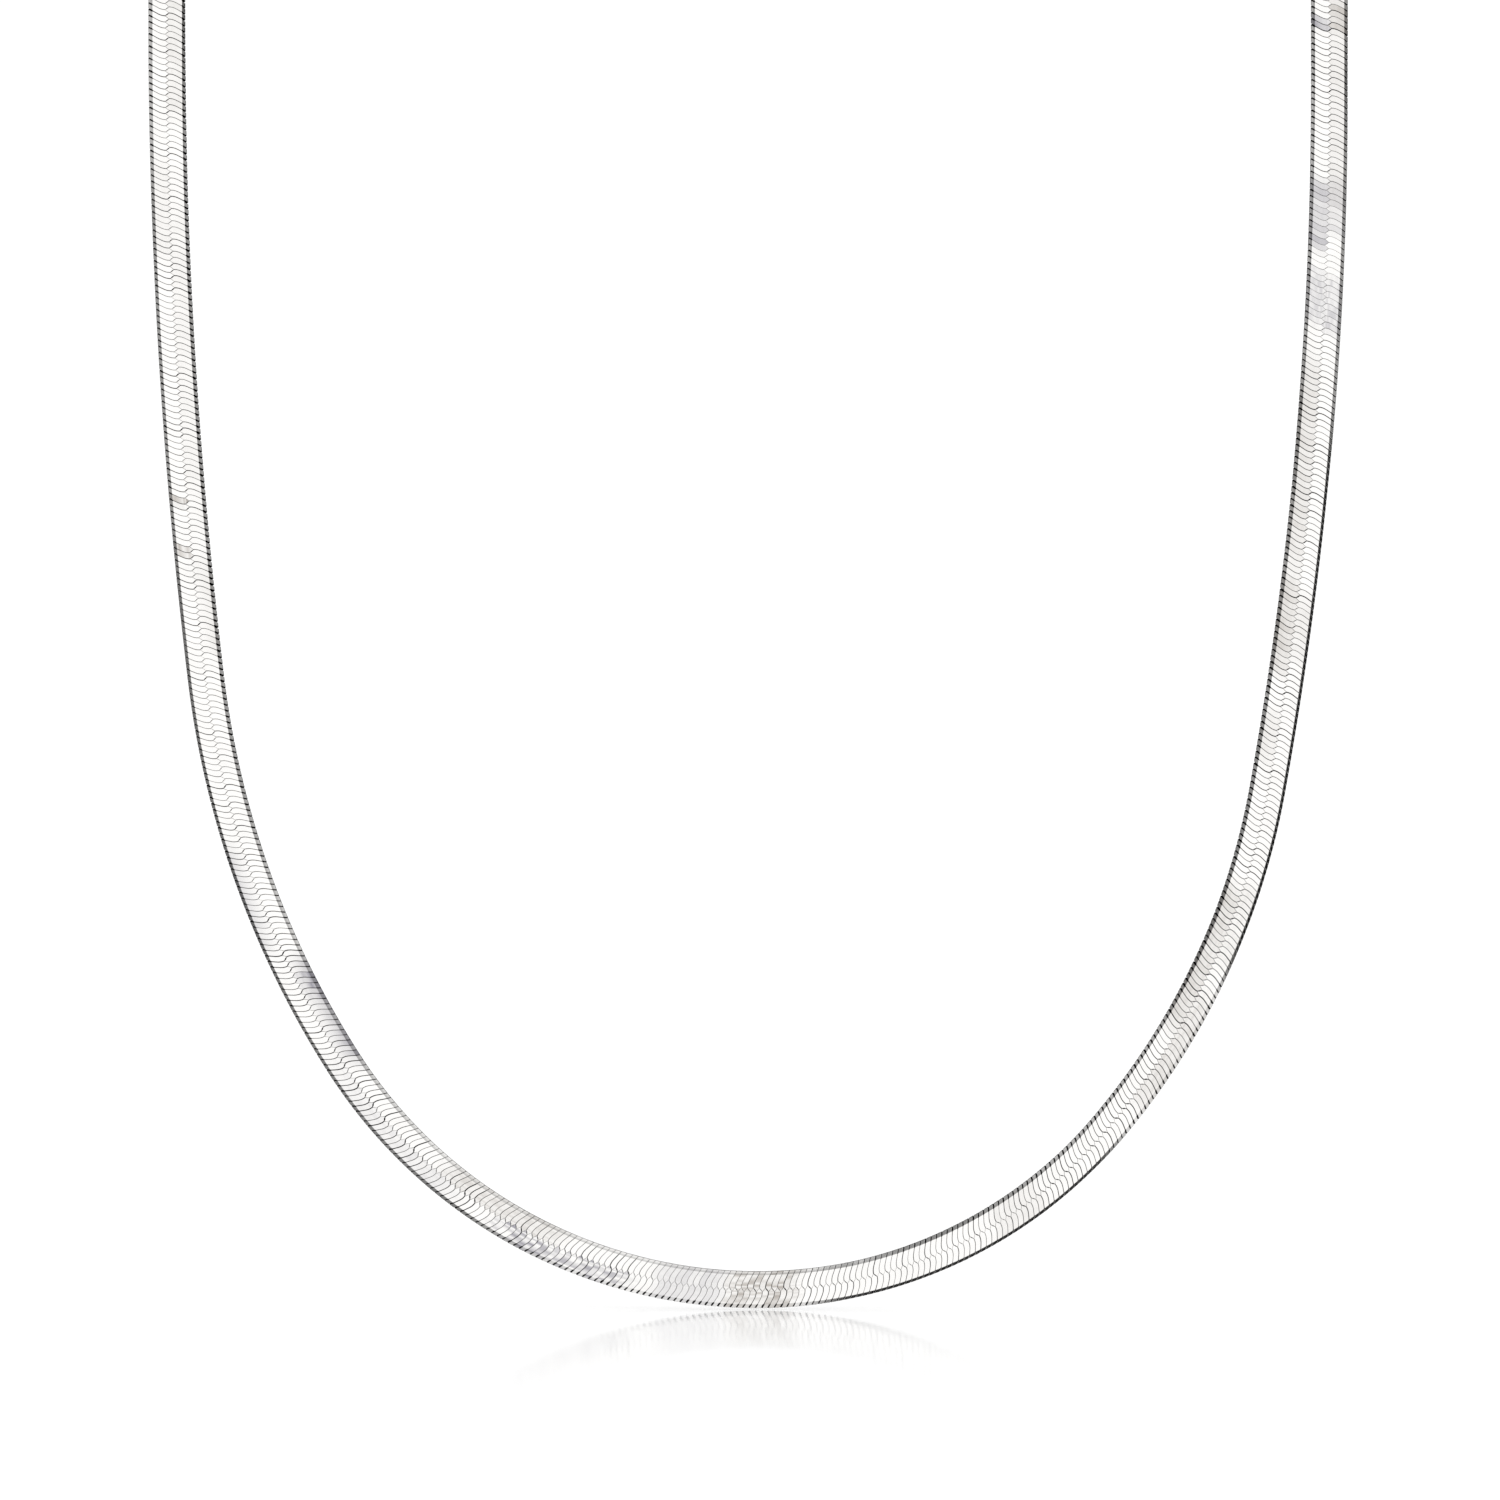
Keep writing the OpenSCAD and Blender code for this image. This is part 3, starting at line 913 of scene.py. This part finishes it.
for face, name in ((-1, "clasp_pin_front"), (1, "clasp_pin_back")):
    pin_head = cast_plate(name, [pin], PIN_T, PIN_SOFT, face * (CLASP_T / 2 - PIN_SUNK))
    fit(pin_head, "clasp")


# The floor under the necklace: a white board just below the lowest link, polished round the place
# where the necklace stands. The silver mirrors the studio and not the board.
FLOOR_DROP = 0.15
FLOOR_W = 8000
WHITE = (1.0, 1.0, 1.0)
# How far the polish reaches to the front and back, how many times less far it reaches to the
# sides, how blurred it mirrors, and the index of its gloss, which grows towards a flat view
GLOSS_REACH = 170
GLOSS_NARROW = 2.4
GLOSS_ROUGH = 0.09
GLOSS_IOR = 1.25
floor_z = band_lo.z - FLOOR_DROP
board = bpy.data.meshes.new("floor")
half_floor = FLOOR_W / 2 * MM
ends = ((-1, -1), (1, -1), (1, 1), (-1, 1))
board.from_pydata([(x * half_floor, y * half_floor, 0) for x, y in ends], [], [(0, 1, 2, 3)])
floor = bpy.data.objects.new("floor", board)
floor.location = (lowest_x * MM, 0, floor_z * MM)
bpy.context.scene.collection.objects.link(floor)
floor.visible_glossy = False
white_board = bpy.data.materials.new("white_board")
white_board.use_nodes = True
tree = white_board.node_tree
tree.nodes.remove(tree.nodes["Principled BSDF"])
matt = tree.nodes.new("ShaderNodeBsdfDiffuse")
matt.inputs["Color"].default_value = (*WHITE, 1)
gloss = tree.nodes.new("ShaderNodeBsdfAnisotropic")
gloss.inputs["Color"].default_value = (*WHITE, 1)
gloss.inputs["Roughness"].default_value = GLOSS_ROUGH
surface = tree.nodes.new("ShaderNodeMixShader")
place = tree.nodes.new("ShaderNodeTexCoord")
narrow = tree.nodes.new("ShaderNodeVectorMath")
narrow.operation = "MULTIPLY"
narrow.inputs[1].default_value = (GLOSS_NARROW, 1, 1)
tree.links.new(place.outputs["Object"], narrow.inputs[0])
far = tree.nodes.new("ShaderNodeVectorMath")
far.operation = "LENGTH"
tree.links.new(narrow.outputs["Vector"], far.inputs[0])
fade = tree.nodes.new("ShaderNodeMapRange")
fade.inputs["From Max"].default_value = GLOSS_REACH * MM
fade.inputs["To Min"].default_value = 1.0
fade.inputs["To Max"].default_value = 0.0
tree.links.new(far.outputs["Value"], fade.inputs["Value"])
grazing = tree.nodes.new("ShaderNodeFresnel")
grazing.inputs["IOR"].default_value = GLOSS_IOR
share = tree.nodes.new("ShaderNodeMath")
share.operation = "MULTIPLY"
tree.links.new(fade.outputs["Result"], share.inputs[0])
tree.links.new(grazing.outputs["Fac"], share.inputs[1])
tree.links.new(share.outputs["Value"], surface.inputs["Fac"])
tree.links.new(matt.outputs["BSDF"], surface.inputs[1])
tree.links.new(gloss.outputs["BSDF"], surface.inputs[2])
tree.links.new(surface.outputs["Shader"], tree.nodes["Material Output"].inputs["Surface"])
floor.data.materials.append(white_board)


# The studio: a white tent with cards of several greys round the necklace and a dark drape just
# behind it. Only gloss shows the cards and the drape; the tent lights everything else.
TENT_LIGHT = 1.07
# The greys of the cards by their angle round the necklace: 0 to its right, 90 above it
CARDS = (
    (-180, 0.48), (-160, 0.55), (-135, 0.6), (-125, 0.3), (-112, 0.95), (-38, 0.95), (-28, 0.9),
    (-20, 0.26), (0, 0.35), (14, 0.3), (20, 0.62), (36, 0.62), (48, 0.9), (98, 0.95), (104, 0.33),
    (110, 0.15), (120, 0.17), (129, 0.43), (146, 0.52), (153, 0.33), (160, 0.13), (171, 0.14),
    (175, 0.55), (180, 0.48),
)
# How far the tent covers the cards and the drape, from straight in front (0) to behind (1)
TENT = (
    (0.0, 1.0), (0.125, 1.0), (0.25, 0.12), (0.38, 0.04), (0.45, 0.0), (0.775, 0.0), (0.83, 0.6),
    (0.88, 1.0), (1.0, 1.0),
)
# The drape from its soft rim to its dark middle, and how far towards the back the two lie
DRAPE = ((0, 1.0), (1, 0.012))
DRAPE_FROM = 0.08
DRAPE_TO = 0.28
world = bpy.data.worlds.new("studio_tent")
bpy.context.scene.world = world
world.use_nodes = True
tree = world.node_tree
way_out = tree.nodes.new("ShaderNodeTexCoord")
split = tree.nodes.new("ShaderNodeSeparateXYZ")
tree.links.new(way_out.outputs["Generated"], split.inputs["Vector"])


def grey_ramp(value, low, high, stops):
    """The greys of a ramp of (position, level) stops, over a value that goes from low to high."""
    spread = tree.nodes.new("ShaderNodeMapRange")
    spread.inputs["From Min"].default_value = low
    spread.inputs["From Max"].default_value = high
    tree.links.new(value, spread.inputs["Value"])
    ramp = tree.nodes.new("ShaderNodeValToRGB")
    for number, (position, level) in enumerate(stops):
        at = (position - stops[0][0]) / (stops[-1][0] - stops[0][0])
        stop = ramp.color_ramp.elements.new(at) if 0 < number < len(stops) - 1 else None
        stop = stop or ramp.color_ramp.elements[0 if number == 0 else -1]
        stop.position = at
        stop.color = (level, level, level, 1)
    tree.links.new(spread.outputs["Result"], ramp.inputs["Fac"])
    return ramp.outputs["Color"]


around = tree.nodes.new("ShaderNodeMath")
around.operation = "ARCTAN2"
tree.links.new(split.outputs["Z"], around.inputs[0])
tree.links.new(split.outputs["X"], around.inputs[1])
cards = grey_ramp(around.outputs["Value"], -math.pi, math.pi, CARDS)
drape = grey_ramp(split.outputs["Y"], DRAPE_FROM, DRAPE_TO, DRAPE)
shaded = tree.nodes.new("ShaderNodeMix")
shaded.data_type = "RGBA"
shaded.blend_type = "MULTIPLY"
shaded.inputs["Factor"].default_value = 1.0
tree.links.new(cards, shaded.inputs["A"])
tree.links.new(drape, shaded.inputs["B"])
open_tent = grey_ramp(split.outputs["Y"], -1, 1, TENT)
mirrored = blend_colours(tree, open_tent, shaded.outputs["Result"], WHITE)
path = tree.nodes.new("ShaderNodeLightPath")
either = blend_colours(tree, path.outputs["Is Glossy Ray"], WHITE, mirrored)
background = tree.nodes["Background"]
background.inputs["Strength"].default_value = TENT_LIGHT
tree.links.new(either, background.inputs["Color"])


# The camera stands squarely in front of the necklace, a degree above the middle of the view. Its
# long lens keeps the perspective faint.
VIEW_W = 182.2
VIEW_MIDDLE = (0.23, -153.39)
LENS = 200
SENSOR = 36
ELEVATION = 1.0
camera_data = bpy.data.cameras.new("camera")
camera_data.lens = LENS
camera_data.sensor_width = SENSOR
distance = VIEW_W / 2 / (SENSOR / 2 / LENS)
camera = bpy.data.objects.new("camera", camera_data)
bpy.context.scene.collection.objects.link(camera)
back = Vector((0, -math.cos(math.radians(ELEVATION)), math.sin(math.radians(ELEVATION))))
aim = Vector((VIEW_MIDDLE[0], 0, VIEW_MIDDLE[1]))
camera.location = (aim + back * distance) * MM
camera.rotation_mode = "QUATERNION"
camera.rotation_quaternion = (-back).to_track_quat("-Z", "Y")
camera_data.clip_start = 0.01
camera_data.clip_end = 20
bpy.context.scene.camera = camera
bpy.context.scene.view_settings.view_transform = "Standard"
